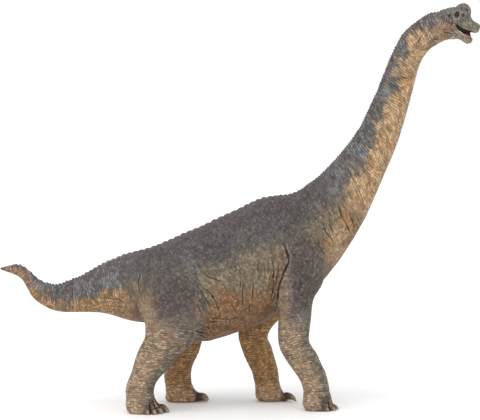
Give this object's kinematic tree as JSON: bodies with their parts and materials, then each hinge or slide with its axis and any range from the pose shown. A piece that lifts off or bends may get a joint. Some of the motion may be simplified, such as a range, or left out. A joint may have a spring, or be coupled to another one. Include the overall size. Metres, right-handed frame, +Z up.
{
  "type": "toy sauropod dinosaur figure",
  "caption": "Painted soft-plastic toy figure of a long-necked sauropod dinosaur walking with its neck raised, its mouth open and its tail tip curled up.",
  "frame": {"origin": "on the floor under the middle of the figure's bounding box", "axes": "+X towards the nose, +Y to the animal's left, +Z up"},
  "size_m": [0.3753, 0.0886, 0.3133],
  "materials": {
    "skin": "painted grey-brown over tan, washed dark in the folds and dry-brushed light on the ridges",
    "eye": "glossy dark navy dot",
    "tongue": "satin pink paint",
    "mouth": "dark paint",
    "claw": "dark brown paint, worn lighter at the tips",
    "tooth": "ivory paint"
  },
  "bodies": {
    "root": {"tail_tip": "skin", "tail_middle": "skin", "tail_base": "skin", "torso": "skin", "neck_lower": "skin", "neck_middle": "skin", "neck_upper": "skin", "head": "skin", "lower_jaw": "skin", "thigh_right": "skin", "shin_right": "skin", "hind_foot_right": "skin", "thigh_left": "skin", "shin_left": "skin", "hind_foot_left": "skin", "upper_arm_right": "skin", "forearm_right": "skin", "fore_foot_right": "skin", "upper_arm_left": "skin", "forearm_left": "skin", "fore_foot_left": "skin", "eye_right": "eye", "eye_left": "eye", "tongue": "tongue"}
  },
  "joints": []
}
